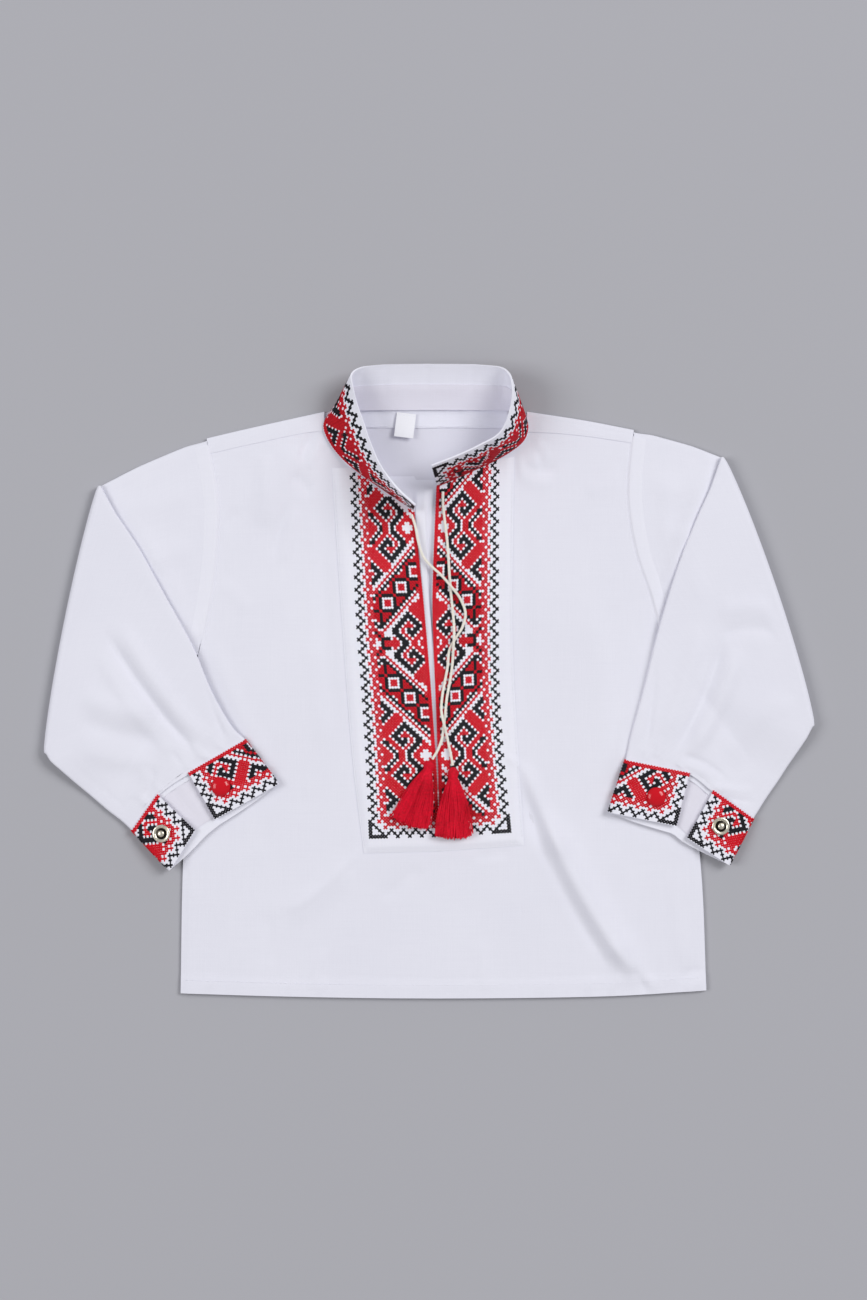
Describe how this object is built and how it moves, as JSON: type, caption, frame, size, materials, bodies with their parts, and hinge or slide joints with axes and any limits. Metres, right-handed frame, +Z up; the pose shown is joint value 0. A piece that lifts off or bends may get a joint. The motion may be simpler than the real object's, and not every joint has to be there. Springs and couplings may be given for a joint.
{
  "type": "vyshyvanka shirt",
  "caption": "Toddler's white folk shirt lying flat, sleeves folded over the front, with cross-stitched plastron, stand collar and cuffs, a neck slit and tasselled ties.",
  "frame": {"origin": "on the surface that the shirt lies on, under the middle of its outline, ties and tassels left out", "axes": "+X across the shirt towards the wearer's left sleeve, +Y from the hem towards the collar, +Z up from the surface, out of the front"},
  "size_m": [0.4235, 0.3478, 0.0306],
  "materials": {
    "white_cloth": "plain weave",
    "embroidered_cloth": "cross stitch on plain weave",
    "label_satin": "satin",
    "red_enamel": "gloss",
    "plated_brass": "bright plating",
    "cord_yarn": "twisted yarn",
    "red_floss": "soft floss"
  },
  "bodies": {
    "root": {"back": "white_cloth", "front": "white_cloth", "plastron": "embroidered_cloth", "sleeve_left": "white_cloth", "sleeve_right": "white_cloth", "cuff_left": "embroidered_cloth", "cuff_right": "embroidered_cloth", "collar": "embroidered_cloth", "collar_facing": "white_cloth", "neck_tape": "white_cloth", "size_label": "label_satin", "snap_cap_left": "red_enamel", "snap_cap_right": "red_enamel", "snap_stud_left": "plated_brass", "snap_stud_right": "plated_brass", "tie_left": "cord_yarn", "tie_right": "cord_yarn", "tassel_left": "red_floss", "tassel_right": "red_floss"}
  },
  "joints": []
}
